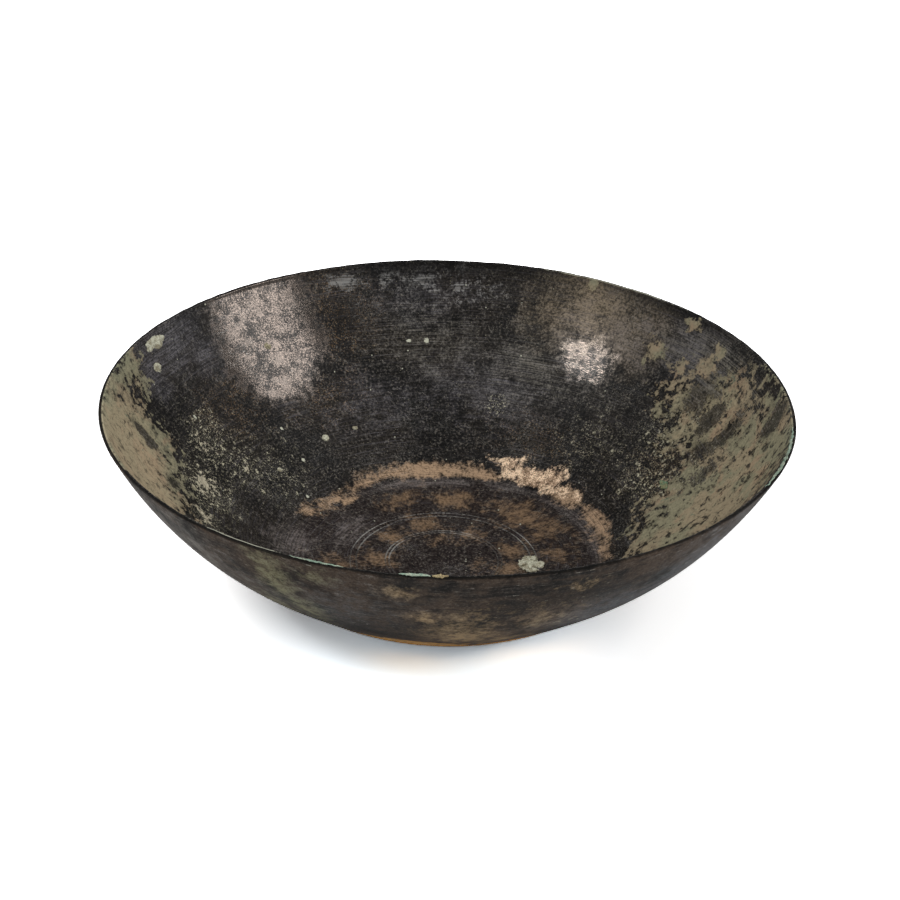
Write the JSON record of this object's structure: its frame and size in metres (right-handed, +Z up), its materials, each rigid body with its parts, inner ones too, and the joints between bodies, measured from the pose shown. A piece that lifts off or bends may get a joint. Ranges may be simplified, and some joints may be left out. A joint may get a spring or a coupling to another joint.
{
  "type": "bronze bowl",
  "caption": "Shallow flaring bronze bowl with a plain rim, a flattened base and incised circles in its floor, patinated and lightly crusted.",
  "frame": {"origin": "centre of the flat face the bowl rests on", "axes": "+Z up along the axis of the bowl, through the middle of its mouth"},
  "size_m": [0.1996, 0.1996, 0.0571],
  "materials": {
    "bronze": "dark brown to black patina, satin, with worn bronze at the ring and fine scratches",
    "pale_crust": "matte granular mineral crust",
    "grey_crust": "matte granular mineral crust",
    "tan_crust": "matte granular mineral crust",
    "green_crust": "matte granular mineral crust"
  },
  "bodies": {
    "root": {"bowl": "bronze", "floor_crust": "pale_crust", "left_rim_crust": "pale_crust", "left_wall_crust": "pale_crust", "ring_crust": "grey_crust", "back_left_nodule": "pale_crust", "lower_left_nodule": "pale_crust", "back_nodule": "pale_crust", "malachite_lump": "green_crust", "front_rim_green_crust": "green_crust", "front_rim_tan_crust": "tan_crust", "left_front_rim_crust": "green_crust", "right_rim_crust": "green_crust"}
  },
  "joints": []
}
